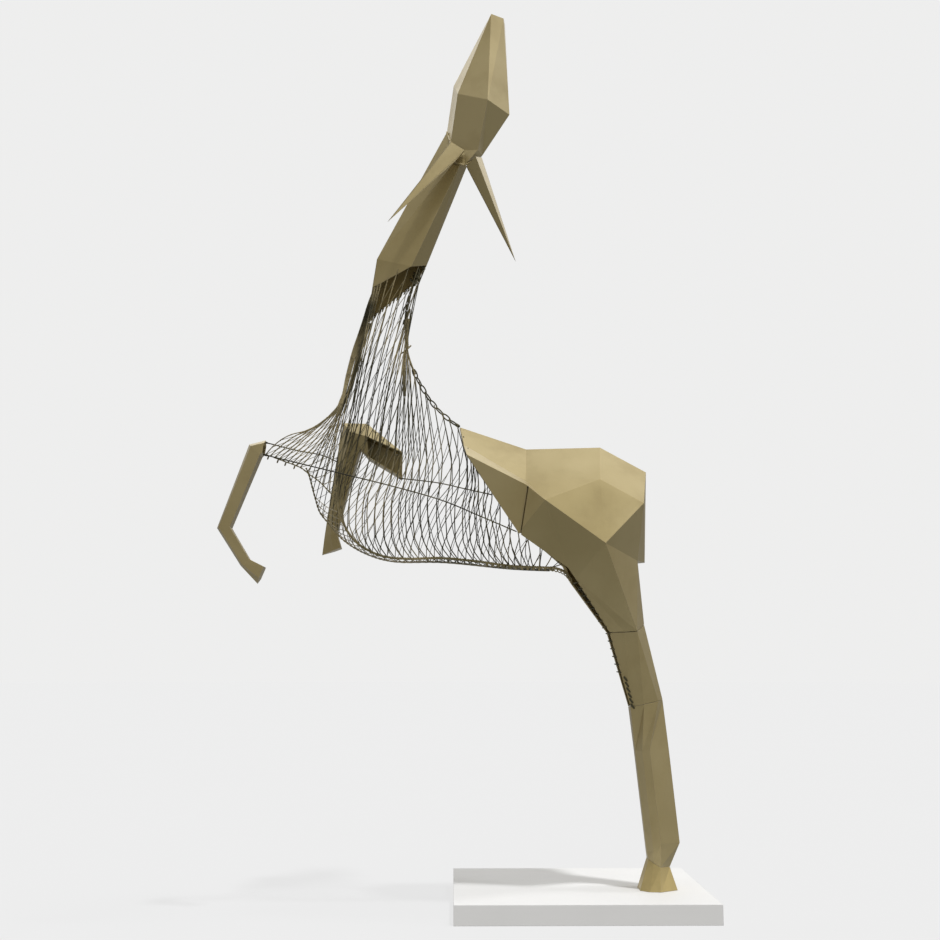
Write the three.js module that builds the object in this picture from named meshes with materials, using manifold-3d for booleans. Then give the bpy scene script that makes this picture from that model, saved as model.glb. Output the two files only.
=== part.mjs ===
// Metal deer sculpture: a life-size hind rearing on one hind leg, folded from thin metal plate,
// with a body of knotted wire net laced between the neck, the forelegs and the hindquarters.
// Millimetres. X runs from the forelegs to the rump, Y from the left flank to the right one, Z up.
// The origin is the centre of the plinth's underside.
import * as THREE from "three";
import Module from "manifold-3d";

const wasm = await Module();
wasm.setup();

// Driving dimensions
const PLINTH = { length: 700, depth: 630, height: 52 };
const MID = -70; // the deer's middle plane, in front of the plinth's own
const PLATE = 4; // wall of every folded shell
const SEAM = 0.8; // open seam between two shells that meet end to end
const GAP = 0.6; // clearance between closed pieces
const SLACK = 9; // how far a net's edge stays inside the rim that it's laced to
const STRAND = 4; // width of a net strand
const WIRE_RADIUS = 2;

// Colours
const BRONZE = 0xa89468;
const NET_METAL = 0x6b6446;
const WHITE = 0xf1f1ef;

// A corner is [x, off, z], where off is its distance from the middle plane: negative on the left.
const at = ([x, off, z]) => new THREE.Vector3(x, MID + off, z);
const mix = (a, b, t) => a.map((v, n) => v + (b[n] - v) * t);
const twin = ([x, off, z]) => [x, -off, z];

// Folds

// Turns the triangles of one surface alike, each edge running opposite ways in its two triangles.
function turnAlike(triangles) {
  const byEdge = new Map();
  triangles.forEach((t, n) => {
    for (let k = 0; k < 3; k++) {
      const key = [t[k], t[(k + 1) % 3]].sort((a, b) => a - b).join();
      byEdge.set(key, [...(byEdge.get(key) ?? []), n]);
    }
  });
  const done = new Set([0]);
  const queue = [0];
  while (queue.length) {
    const t = triangles[queue.pop()];
    for (let k = 0; k < 3; k++) {
      const [a, b] = [t[k], t[(k + 1) % 3]];
      for (const n of byEdge.get([a, b].sort((x, y) => x - y).join())) {
        if (done.has(n)) continue;
        const other = triangles[n];
        if (other[(other.indexOf(a) + 1) % 3] === b) other.reverse();
        done.add(n);
        queue.push(n);
      }
    }
  }
  return triangles;
}

// The signed volume between a surface and a point well inside it: below zero if it faces inwards.
function facing(points, triangles, centre) {
  return triangles.reduce((sum, t) => {
    const [a, b, c] = t.map((n) => points[n].clone().sub(centre));
    return sum + a.dot(b.cross(c));
  }, 0);
}

// A surface from faces given as lists of corners, fanned from the first corner of each.
function surface(faces, inside) {
  const points = [];
  const known = new Map();
  const index = (corner) => {
    const key = corner.map((v) => v.toFixed(3)).join();
    if (!known.has(key)) known.set(key, points.push(at(corner)) - 1);
    return known.get(key);
  };
  const triangles = faces.flatMap((face) => {
    const ids = face.map(index).filter((id, n, all) => all.indexOf(id) === n);
    return ids.slice(2).map((id, n) => [ids[0], ids[n + 1], id]);
  });
  turnAlike(triangles);
  const centre = inside ? at(inside) : new THREE.Vector3();
  if (!inside) points.forEach((p) => centre.addScaledVector(p, 1 / points.length));
  if (facing(points, triangles, centre) < 0) triangles.forEach((t) => t.reverse());
  return { points, triangles };
}

// Moves each corner inwards until it lies `wall` behind all the facets that meet there.
function inset(points, triangles, wall) {
  const normals = points.map(() => []);
  triangles.forEach((t) => {
    const n = new THREE.Triangle(...t.map((k) => points[k])).getNormal(new THREE.Vector3());
    t.forEach((k) => normals[k].push(n));
  });
  return points.map((p, k) => {
    const sums = new Array(9).fill(0);
    const right = new THREE.Vector3();
    for (const n of normals[k]) {
      const v = n.toArray();
      for (let r = 0; r < 9; r++) sums[r] += v[Math.floor(r / 3)] * v[r % 3];
      right.addScaledVector(n, -wall);
    }
    for (const r of [0, 4, 8]) sums[r] += 0.05 * normals[k].length;
    return p.clone().add(right.applyMatrix3(new THREE.Matrix3().set(...sums).invert()));
  });
}

function geometryOf(points, triangles) {
  const flat = triangles.flatMap((t) => t.flatMap((k) => points[k].toArray()));
  const geometry = new THREE.BufferGeometry();
  geometry.setAttribute("position", new THREE.Float32BufferAttribute(flat, 3));
  geometry.computeVertexNormals();
  return geometry;
}

// Folded plate: the surface, its inner copy, and a strip along every free edge.
function plate({ points, triangles }, wall = PLATE) {
  const inner = inset(points, triangles, wall);
  const count = points.length;
  const used = new Set(triangles.flatMap(([a, b, c]) => [`${a},${b}`, `${b},${c}`, `${c},${a}`]));
  const made = [...triangles, ...triangles.map(([a, b, c]) => [c + count, b + count, a + count])];
  for (const edge of used) {
    const [a, b] = edge.split(",").map(Number);
    if (used.has(`${b},${a}`)) continue;
    made.push([b, a, a + count], [b, a + count, b + count]);
  }
  return geometryOf([...points, ...inner], made);
}

// A closed, solid form.
const block = ({ points, triangles }) => geometryOf(points, triangles);

// The faces between rings of corners, leaving out those whose side is in `open`.
function sides(rings, open = () => false) {
  return rings.slice(1).flatMap((ring, level) =>
    ring.flatMap((corner, side) => {
      const next = (side + 1) % ring.length;
      if (open(level, side)) return [];
      return [[rings[level][side], rings[level][next], ring[next], corner]];
    }),
  );
}

// A ring from its left half, listed from front to back, and the same half on the right.
const ringOf = (half) => [...half, ...half.toReversed().map(twin)];

// Joins and cuts

function solidOf(geometry) {
  const plain = geometry.index ? geometry.toNonIndexed() : geometry;
  const position = plain.getAttribute("position");
  const mesh = new wasm.Mesh({
    numProp: 3,
    vertProperties: new Float32Array(position.array),
    triVerts: Uint32Array.from({ length: position.count }, (_, n) => n),
  });
  mesh.merge();
  return new wasm.Manifold(mesh);
}

function geometryFrom(solid) {
  const bodies = solid.decompose().sort((a, b) => b.volume() - a.volume());
  const mesh = bodies[0].getMesh();
  const points = [];
  for (let n = 0; n < mesh.numVert; n++) {
    points.push(new THREE.Vector3().fromArray(mesh.vertProperties, n * mesh.numProp));
  }
  const triangles = [];
  for (let n = 0; n < mesh.numTri; n++) triangles.push([...mesh.triVerts.slice(n * 3, n * 3 + 3)]);
  return geometryOf(points, triangles);
}

// What is left of a piece once its neighbour, grown by `grow` times, is cut out of it.
function clearOf(geometry, neighbour, grow = 1.012) {
  neighbour.computeBoundingBox();
  const centre = neighbour.boundingBox.getCenter(new THREE.Vector3());
  const grown = neighbour
    .clone()
    .translate(-centre.x, -centre.y, -centre.z)
    .scale(grow, grow, grow)
    .translate(centre.x, centre.y, centre.z);
  return geometryFrom(solidOf(geometry).subtract(solidOf(grown)));
}

// The plinth and the hind leg

function plinth() {
  const { length, depth, height } = PLINTH;
  return new THREE.BoxGeometry(length, depth, height).translate(0, 0, height / 2);
}

// Half rings of the leg, front to back. The cannon's side ridge starts at its back and runs forward.
const HOOF_SOLE = [[165, -28, 0], [188, -53, 0], [219, -58, 0], [270, -22, 0]].map(
  ([x, off]) => [x, off, PLINTH.height + GAP],
);
const PASTERN = [[191, -18, 136], [203, -36, 127], [220, -48, 117], [251, -12, 114]];
const CANNON_FOOT = [[188, -10, 154], [202, -40, 160], [222, -54, 180], [281, -8, 178]];
const CANNON_MIDDLE = [[160, -12, 430], [176, -42, 431], [196, -50, 433], [256, -8, 437]];
const CANNON_TOP = [[148, -24, 552], [185, -34, 559], [226, -30, 568], [242, -6, 571]];
const HOCK = [[91, -34, 759], [132, -52, 760], [166, -62, 762], [194, -6, 782]];

const raised = (ring, by) => ring.map(([x, off, z]) => [x, off, z + by]);

function hindHoof() {
  const rings = [HOOF_SOLE, raised(PASTERN, -GAP)].map(ringOf);
  return block(surface([...sides(rings), rings[0], rings[1]]));
}

function hindCannon() {
  const rings = [PASTERN, CANNON_FOOT, CANNON_MIDDLE, raised(CANNON_TOP, -SEAM)].map(ringOf);
  return block(surface([...sides(rings), rings[0], rings[3]]));
}

// The shank is a channel: its front is open, and the net is laced across it.
const FRONT_SIDE = 7; // the side of an eight-cornered ring that joins its two front corners

function hindShank() {
  const rings = [CANNON_TOP, raised(HOCK, -SEAM)].map(ringOf);
  return plate(surface(sides(rings, (level, side) => side === FRONT_SIDE), [190, 0, 660]));
}

// The hindquarters: a shell open towards the belly, the same on both flanks

const BACK = {
  withers: [-333, 0, 1356],
  loin: [-140, 0, 1291],
  croup: [76, 0, 1297],
  rump: [209, 0, 1224],
  tail: [200, 0, 960],
};
const FLANK = {
  saddle: [-323, -58, 1294], // fold under the ridge of the back, front to rear
  ribs: [-148, -110, 1182],
  haunch: [62, -110, 1188],
  pin: [185, -111, 1120],
  girth: [-315, -110, 1258], // top front corner of the side panel
  seam: [-149, -140, 1168], // upper end of the open joint behind that panel
  hip: [-98, -165, 1122],
  thigh: [66, -190, 999], // the widest point
  buttock: [171, -60, 961],
};
// The rim of each flank, written with the left side's sign. The right one is cut further back.
const RIM_LEFT = {
  saddle: FLANK.saddle,
  girth: FLANK.girth,
  seam: [-171, -140, 1032],
  groin: [-30, -96, 938],
  stifle: [-9, -90, 908],
};
const RIM_RIGHT = {
  saddle: [-303, -61, 1296],
  girth: [-283, -112, 1262],
  seam: [-132, -135, 1052],
  groin: [-22, -90, 948],
  stifle: [-9, -84, 908],
};

function hindquarters() {
  const { tail } = BACK;
  const { buttock } = FLANK;
  const heel = HOCK[3].with(2, HOCK[3][2] + SEAM);
  const behind = [
    [buttock, tail, twin(buttock)],
    [buttock, twin(buttock), twin(heel), heel],
  ];
  const flanks = [...flankFaces(RIM_LEFT), ...flankFaces(RIM_RIGHT).map((face) => face.map(twin))];
  const shell = plate(surface([...flanks, ...behind], [30, 0, 1080]));
  return geometryFrom(solidOf(shell).subtract(panelSlot(-1, RIM_LEFT)).subtract(panelSlot(1, RIM_RIGHT)));
}

function flankFaces(rim) {
  const { withers, loin, croup, rump, tail } = BACK;
  const { ribs, haunch, pin, seam, hip, thigh, buttock } = FLANK;
  const { saddle, girth } = rim;
  const hock = raised(HOCK, SEAM);
  return [
    [withers, loin, ribs, saddle],
    [loin, croup, haunch, ribs],
    [croup, rump, pin, haunch],
    [saddle, ribs, seam],
    [saddle, seam, girth],
    [ribs, hip, seam],
    [ribs, haunch, hip],
    [haunch, thigh, hip],
    [haunch, pin, thigh],
    [pin, buttock, thigh],
    [pin, rump, tail, buttock],
    [girth, seam, rim.seam],
    [seam, hip, rim.seam],
    [hip, rim.groin, rim.seam],
    [hip, thigh, rim.stifle],
    [hip, rim.stifle, rim.groin],
    [thigh, hock[2], rim.stifle],
    [thigh, buttock, hock[2]],
    [buttock, hock[3], hock[2]],
    [rim.stifle, hock[2], hock[1], hock[0]],
  ];
}

// The open joint beside each side panel, from the fold above it down to the rim.
function panelSlot(side, rim) {
  const width = 4;
  const [top, foot] = [FLANK.seam, rim.seam].map(at);
  const run = foot.clone().sub(top);
  const slot = new THREE.BoxGeometry(width, 90, run.length());
  slot.rotateY(Math.atan2(run.x, run.z) + Math.PI);
  const middle = top.clone().lerp(foot, 0.54);
  slot.translate(middle.x + 6, MID + side * 145, middle.z);
  return solidOf(slot);
}

// The neck: an open-ended tube whose top runs up into the head

const NECK_RIM = {
  throat: [-589, -85, 1754],
  nape: [-475, -120, 1806],
  crest: [-432, -60, 1828],
  farCrest: [-462, 70, 1819],
  farThroat: [-617, 110, 1704],
};
const NECK_FOLD = [-577, -80, 1840];
const NECK_TOP = {
  throat: [-374, -10, 2262],
  cheek: [-353, -80, 2137],
  nape: [-335, -88, 2126],
  crest: [-314, -46, 2139],
  farCrest: [-328, 40, 2146],
  farThroat: [-372, 60, 2230],
};
const NECK_CORE = [-318, -15, 2225]; // where the tube ends, inside the head

function neck() {
  const { throat, nape, crest, farCrest, farThroat } = NECK_RIM;
  const top = NECK_TOP;
  const around = Object.values(top);
  const tube = surface([
    [top.throat, top.cheek, NECK_FOLD],
    [top.cheek, top.nape, nape, NECK_FOLD],
    [NECK_FOLD, nape, throat],
    [top.nape, top.crest, crest, nape],
    [top.crest, top.farCrest, farCrest, crest],
    [top.farCrest, top.farThroat, farThroat, farCrest],
    [top.farThroat, top.throat, farThroat],
    [top.throat, NECK_FOLD, throat, farThroat],
    ...around.map((corner, n) => [corner, around[(n + 1) % around.length], NECK_CORE]),
  ], [-440, 0, 2000]);
  return clearOf(plate(tube), head());
}

// The head, thrown back: the brow is its nearest edge, the snout points up and away

const SNOUT = { left: [-239, -10, 2645], right: [-200, 22, 2647], edge: [-194, 70, 2651] };
const BROW = {
  temple: [-354, 15, 2421],
  left: [-342, -64, 2360],
  middle: [-253, -110, 2321],
  right: [-186, -40, 2305],
};
const POLL = {
  side: [-374, 10, 2271],
  left: [-362, -51, 2215],
  earFoot: [-322, -71, 2180],
  ridge: [-282, -92, 2172],
  right: [-268, -52, 2171],
  tip: [-321, -92, 2125],
  cheek: [-351, -84, 2135],
};
const JAW = {
  chin: [-222, 110, 2650],
  left: [-318, 120, 2350],
  right: [-227, 105, 2300],
  throatLeft: [-340, 95, 2235],
  throatRight: [-292, 70, 2186],
};

function head() {
  const { temple, left, middle, right } = BROW;
  return block(surface([
    [SNOUT.left, left, middle],
    [SNOUT.left, middle, SNOUT.right],
    [SNOUT.right, middle, right],
    [SNOUT.right, right, SNOUT.edge],
    [SNOUT.left, temple, left],
    [temple, POLL.side, POLL.left, left],
    [left, POLL.left, POLL.earFoot, POLL.ridge, middle],
    [middle, POLL.ridge, POLL.right, right],
    [POLL.earFoot, POLL.tip, POLL.ridge],
    [POLL.tip, POLL.right, POLL.ridge],
    [SNOUT.left, SNOUT.right, SNOUT.edge, JAW.chin],
    [SNOUT.left, JAW.chin, JAW.left, temple],
    [SNOUT.edge, right, JAW.right, JAW.chin],
    [JAW.chin, JAW.right, JAW.left],
    [temple, JAW.left, JAW.throatLeft, POLL.side],
    [right, POLL.right, JAW.throatRight, JAW.right],
    [JAW.left, JAW.right, JAW.throatRight, JAW.throatLeft],
    [POLL.side, JAW.throatLeft, POLL.left],
    [POLL.left, JAW.throatLeft, POLL.cheek],
    [POLL.left, POLL.cheek, POLL.earFoot],
    [POLL.earFoot, POLL.cheek, POLL.tip],
    [POLL.cheek, JAW.throatLeft, JAW.throatRight, POLL.tip],
    [POLL.tip, JAW.throatRight, POLL.right],
  ]));
}

// The ears: long folded leaves, each with a fold from its foot to its tip

const EARS = {
  left: { foot: [[-364, -78, 2201], [-322, -98, 2169], [-349, -122, 2125]], tip: [-544, -165, 1922] },
  right: { foot: [[-317, -96, 2119], [-289, -118, 2141], [-270, -62, 2161]], tip: [-172, -100, 1826] },
};
const EAR_DEPTH = 14; // thickness of an ear along the fold of its foot

function ear({ foot, tip }) {
  const [a, fold, b] = foot;
  const back = fold.with(1, fold[1] + EAR_DEPTH);
  const leaf = surface([
    [a, fold, tip],
    [fold, b, tip],
    [b, back, tip],
    [back, a, tip],
    [a, fold, back],
    [fold, b, back],
  ]);
  return clearOf(clearOf(block(leaf), head()), neck(), 1.004);
}

// The forelegs: folded tubes, open where the net is laced on, closed at the hoof

// A station is the outline's two sides, the half depth, and how far down the side ridge lies.
function section({ outer, inner, half, ridge = 0.2 }, plane) {
  const corner = (t, off) => {
    const [x, z] = mix(outer, inner, t);
    return [x, plane + off, z];
  };
  return [
    corner(0, 0),
    corner(ridge, -half),
    corner(1, -half),
    corner(1, half),
    corner(ridge, half),
  ];
}

function foreleg(stations, plane, open = () => false) {
  const rings = stations.map((station) => section(station, plane));
  const [x, z] = mix(stations[2].outer, stations[2].inner, 0.5);
  const faces = [...sides(rings, open), rings.at(-1)];
  return plate(surface(faces, [x, plane, z]), PLATE * 0.75);
}

const LEFT_LEG_PLANE = -150;
const LEFT_LEG = [
  { outer: [-878, 1290], inner: [-883, 1252], half: 24, ridge: 0.3 },
  { outer: [-924, 1278], inner: [-890, 1245], half: 26, ridge: 0.25 },
  { outer: [-1007, 1043], inner: [-968, 1044], half: 21, ridge: 0.2 },
  { outer: [-939, 939], inner: [-914, 956], half: 16, ridge: 0.2 },
  { outer: [-891, 889], inner: [-872, 935], half: 22, ridge: 0.3 },
];
const RIGHT_LEG_PLANE = 190;
const RIGHT_LEG = [
  { outer: [-509, 1314], inner: [-511, 1231], half: 34, ridge: 0.06 },
  { outer: [-618, 1402], inner: [-612, 1292], half: 40, ridge: 0.42 },
  { outer: [-690, 1404], inner: [-636, 1320], half: 38, ridge: 0.4 },
  { outer: [-726, 1182], inner: [-670, 1199], half: 26, ridge: 0.45 },
  { outer: [-743, 1052], inner: [-704, 1062], half: 20, ridge: 0.5 },
  { outer: [-749, 997], inner: [-691, 1018], half: 26, ridge: 0.62 },
];
const NEAR_SIDE = 1; // the side of a section that faces left
// The upper arm of the right leg has no left wall, so its tube lies open there.
const armWindow = (level, side) => level === 0 && side === NEAR_SIDE;

// The net

const curve = (corners) => new THREE.CatmullRomCurve3(corners.map(at), false, "centripetal");
const slid = ([x, off, z], dx, dz, inward = 0) => [x + dx, off - Math.sign(off) * inward, z + dz];

const CREST_GAP = 11; // half the distance between the two nets along the nape
const NAPE_LINE = [[-460, 0, 1795], [-483, 0, 1640], [-472, 0, 1561], [-419, 0, 1435], [-345, 0, 1362]];
// Where, between throat and groin, the upper edge leaves the neck's rim, and where it leaves the nape.
const NAPE_SHARE = [0.3, 0.7];

// A flank net's upper edge: the neck's rim, then the nape, then the hindquarters' rim.
function upperEdge(side, neckRim, rim) {
  const { saddle, girth, seam, groin } = rim;
  const nape = NAPE_LINE.map(([x, off, z]) => [x, off - side * CREST_GAP, z]);
  const collar = [...neckRim.map((corner) => slid(corner, 0, -SLACK * 1.6)), nape[0]];
  const last = mix(seam, groin, 0.6);
  const laced = [saddle, girth, mix(girth, seam, 0.5), seam, last].map(([x, off, z]) =>
    slid([x, side * off, z], -SLACK, -SLACK * 0.3, SLACK),
  );
  const parts = [collar, nape, [nape.at(-1), ...laced]].map(curve);
  const ends = [0, ...NAPE_SHARE, 1];
  return {
    getPointAt(along) {
      const n = along < ends[1] ? 0 : along < ends[2] ? 1 : 2;
      return parts[n].getPointAt((along - ends[n]) / (ends[n + 1] - ends[n]));
    },
  };
}

const LEFT_NET = {
  upper: upperEdge(1, [NECK_RIM.throat, NECK_RIM.nape, NECK_RIM.crest], RIM_LEFT),
  throat: curve([
    [-590, -83, 1740], [-628, -20, 1683], [-684, -40, 1433], [-752, -80, 1350], [-813, -120, 1319],
    [-866, -150, 1297],
  ]),
  lower: curve([
    [-866, -150, 1297], [-866, -152, 1252], [-780, -145, 1214], [-729, -140, 1177], [-698, -135, 1147],
    [-671, -125, 1074], [-626, -115, 1010], [-547, -108, 967], [-390, -104, 965], [-188, -100, 941],
    [-84, -96, 932],
  ]),
  bulge: -55,
};
const RIGHT_NET = {
  upper: upperEdge(-1, [NECK_RIM.farThroat, NECK_RIM.farCrest], RIM_RIGHT),
  throat: curve([
    [-619, 105, 1692], [-640, 60, 1640], [-684, 20, 1470], [-730, 40, 1370], [-783, 90, 1229],
  ]),
  lower: curve([
    [-783, 90, 1229], [-766, 105, 1166], [-736, 118, 1104], [-696, 120, 1052], [-657, 118, 1023],
    [-607, 112, 993], [-510, 108, 979], [-344, 104, 977], [-188, 100, 948], [-84, 94, 937],
  ]),
  bulge: 40,
};

// A point of a flank net: `along` from the throat to the groin, `down` from its upper to its lower edge.
function flankPoint({ upper, throat, lower, bulge }, along, down) {
  const top = upper.getPointAt(along);
  const foot = lower.getPointAt(along);
  const point = top.clone().lerp(foot, down);
  const straight = upper.getPointAt(0).lerp(lower.getPointAt(0), down);
  point.addScaledVector(throat.getPointAt(down).sub(straight), (1 - along) ** 3);
  const middle = Math.sin(Math.PI * down) * Math.sin(Math.PI * Math.min(1, along * 1.2)) ** 0.7;
  point.y += bulge * middle;
  return point;
}

// A diamond net as pierced sheet: every cell of the mesh is a hole whose edges leave strands between.
function net(pointAt, across, rows) {
  const points = [];
  const triangles = [];
  const knots = new Map();
  const knot = ([i, j]) => {
    const key = `${i},${j}`;
    if (!knots.has(key)) knots.set(key, points.push(pointAt(i / across, j / rows)) - 1);
    return knots.get(key);
  };
  for (let i = 0; i <= across; i++) {
    for (let j = 0; j <= rows; j++) {
      if ((i + j) % 2 === 0) continue;
      const cell = [[i - 1, j], [i, j - 1], [i + 1, j], [i, j + 1]]
        .filter(([a, b]) => a >= 0 && b >= 0 && a <= across && b <= rows)
        .map(knot);
      if (cell.length > 2) addHole(cell, points, triangles);
    }
  }
  turnAlike(triangles);
  return { points, triangles };
}

function addHole(cell, points, triangles) {
  const corners = cell.map((n) => points[n]);
  const centre = new THREE.Vector3();
  corners.forEach((p) => centre.addScaledVector(p, 1 / corners.length));
  const hole = corners.map((p, n) => {
    const before = corners.at(n - 1).clone().sub(p).normalize();
    const after = corners[(n + 1) % corners.length].clone().sub(p).normalize();
    const reach = STRAND / 2 / Math.max(0.05, before.clone().cross(after).length());
    const move = before.add(after).multiplyScalar(reach);
    const most = 0.45 * p.distanceTo(centre);
    if (move.length() > most) move.copy(centre).sub(p).setLength(most);
    return points.push(p.clone().add(move)) - 1;
  });
  cell.forEach((a, n) => {
    const next = (n + 1) % cell.length;
    triangles.push([a, cell[next], hole[next]], [a, hole[next], hole[n]]);
  });
}

const NET_WALL = 3.5;
const flankNet = (edges) =>
  plate(net((along, down) => flankPoint(edges, along, down), 30, 8), NET_WALL);

// The net under the belly, from the brisket back to the groin.
const BELLY_EDGE = curve([
  [-671, -112, 1064], [-626, -103, 1002], [-547, -96, 960], [-390, -92, 958], [-188, -86, 934],
  [-80, -80, 926], [-24, -72, 914],
]);
// The strip across the open front of the leg, from the stifle past the hock to the cannon.
const STRIP_INSET = 13;
const STRIP_EDGE = curve(
  [
    mix(RIM_LEFT.stifle, HOCK[0], 0.07),
    mix(RIM_LEFT.stifle, HOCK[0], 0.5),
    mix(RIM_LEFT.stifle, HOCK[0], 0.92),
    mix(HOCK[0], CANNON_TOP[0], 0.08),
    mix(HOCK[0], CANNON_TOP[0], 0.5),
    mix(HOCK[0], CANNON_TOP[0], 0.93),
  ].map(([x, off, z]) => [x, off + STRIP_INSET, z]),
);

// A net between a left edge and its twin on the right, hanging by `sag` along its middle.
const netBetween = (edge, sag) => (along, across) => {
  const left = edge.getPointAt(along);
  const point = left.clone().lerp(new THREE.Vector3(left.x, 2 * MID - left.y, left.z), across);
  point.z -= sag * Math.sin(Math.PI * across);
  return point;
};

const bellyNet = () => plate(net(netBetween(BELLY_EDGE, 8), 20, 6), NET_WALL);
const legNet = () => plate(net(netBetween(STRIP_EDGE, 0), 16, 2), NET_WALL);

// The stay wires that run through the net

const STAYS = {
  stay_wire_left: [
    [-868, -166, 1244], [-700, -164, 1203], [-520, -168, 1158], [-380, -166, 1118],
    [-280, -150, 1078], [-226, -132, 1058],
  ],
  stay_wire_right: [[-500, 178, 1228], [-400, 168, 1216], [-320, 150, 1196], [-276, 122, 1178]],
  stay_wire_breast: [[-862, -140, 1283], [-800, -90, 1272], [-742, 20, 1277], [-716, 150, 1277]],
};
const STAY_SIDES = 6;

function stay(corners) {
  const line = curve(corners);
  const rings = Array.from({ length: 9 }, (_, n) => {
    const centre = line.getPointAt(n / 8);
    return Array.from({ length: STAY_SIDES }, (_, k) => {
      const turn = (2 * Math.PI * k) / STAY_SIDES;
      const off = centre.y - MID + WIRE_RADIUS * Math.cos(turn);
      return [centre.x, off, centre.z + WIRE_RADIUS * Math.sin(turn)];
    });
  });
  return block(surface([...sides(rings), rings[0], rings.at(-1)]));
}

// The sculpture

const root = new THREE.Group();
root.name = "metal_deer_sculpture";

function add(name, geometry, color, roughness = 0.45, metalness = 0.8) {
  const material = new THREE.MeshStandardMaterial({ color, roughness, metalness, flatShading: true });
  const mesh = new THREE.Mesh(geometry, material);
  mesh.name = name;
  root.add(mesh);
}

add("plinth", plinth(), WHITE, 0.6, 0);
add("hind_hoof", hindHoof(), BRONZE);
add("hind_cannon", hindCannon(), BRONZE);
add("hind_shank", hindShank(), BRONZE);
add("hindquarters", hindquarters(), BRONZE);
add("neck", neck(), BRONZE);
add("head", head(), BRONZE);
add("ear_left", ear(EARS.left), BRONZE);
add("ear_right", ear(EARS.right), BRONZE);
add("foreleg_left", foreleg(LEFT_LEG, LEFT_LEG_PLANE), BRONZE);
add("foreleg_right", foreleg(RIGHT_LEG, RIGHT_LEG_PLANE, armWindow), BRONZE);
add("net_left", flankNet(LEFT_NET), NET_METAL);
add("net_right", flankNet(RIGHT_NET), NET_METAL);
add("net_belly", bellyNet(), NET_METAL);
add("net_leg", legNet(), NET_METAL);
for (const [name, corners] of Object.entries(STAYS)) add(name, stay(corners), NET_METAL);

export default root;
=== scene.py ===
"""Looks of the metal deer sculpture: its camera, light, finishes and fine knotted wire net.

Corners are [x, off, z] in millimetres, as in the part: off is the distance from the deer's middle
plane, negative on the left flank, which is the side the camera sees. A sighting is (x, y, off): a
pixel of the picture, and the depth at which a thing seen there lies.
"""

import math

import bpy
import numpy as np
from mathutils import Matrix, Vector


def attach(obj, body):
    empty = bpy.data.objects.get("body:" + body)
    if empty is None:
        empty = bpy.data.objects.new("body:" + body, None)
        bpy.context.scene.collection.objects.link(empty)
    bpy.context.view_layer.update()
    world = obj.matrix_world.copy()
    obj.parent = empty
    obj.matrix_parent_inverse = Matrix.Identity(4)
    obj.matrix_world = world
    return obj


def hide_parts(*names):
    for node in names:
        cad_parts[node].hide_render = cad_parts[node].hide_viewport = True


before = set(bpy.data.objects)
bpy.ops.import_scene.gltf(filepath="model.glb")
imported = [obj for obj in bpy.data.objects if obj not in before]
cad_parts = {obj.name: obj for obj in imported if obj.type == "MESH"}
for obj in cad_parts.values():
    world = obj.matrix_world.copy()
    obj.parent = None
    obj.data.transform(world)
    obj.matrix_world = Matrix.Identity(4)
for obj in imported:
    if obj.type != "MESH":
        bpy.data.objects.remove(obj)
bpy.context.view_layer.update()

MM = 0.001
MID = -70.0  # the deer's middle plane


def metres(corners):
    """Corners in millimetres as points in metres."""
    points = np.array(corners, float)
    points[..., 1] += MID
    return points * MM


# Camera: it stands low in front of the left flank and looks a little up.

CAMERA_AT = (-0.3526, -3.8134, 0.6598)
CAMERA_PITCH = math.radians(8.660)
CAMERA_YAW = math.radians(0.7407)  # towards +X
CAMERA_LENS = 49.79
SENSOR = 36.0
PICTURE = 940  # pixels along each side


def add_camera():
    data = bpy.data.cameras.new("camera")
    data.sensor_width = SENSOR
    data.lens = CAMERA_LENS
    camera = bpy.data.objects.new("camera", data)
    camera.location = CAMERA_AT
    camera.rotation_euler = (math.pi / 2 + CAMERA_PITCH, 0.0, -CAMERA_YAW)
    bpy.context.scene.collection.objects.link(camera)
    bpy.context.scene.camera = camera


def sighted(*sightings):
    """The corners at which sightings lie."""
    ahead = np.array([math.sin(CAMERA_YAW) * math.cos(CAMERA_PITCH), 0.0, math.sin(CAMERA_PITCH)])
    ahead[1] = math.cos(CAMERA_YAW) * math.cos(CAMERA_PITCH)
    right = np.array([math.cos(CAMERA_YAW), -math.sin(CAMERA_YAW), 0.0])
    up = np.cross(right, ahead)
    focal = CAMERA_LENS / SENSOR * PICTURE
    start = np.array(CAMERA_AT) / MM
    corners = []
    for x, y, off in sightings:
        ray = ahead * focal + right * (x - PICTURE / 2) + up * (PICTURE / 2 - y)
        place = start + ray * (MID + off - start[1]) / ray[1]
        corners.append((place[0], off, place[2]))
    return np.array(corners)


# Node helpers


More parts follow.
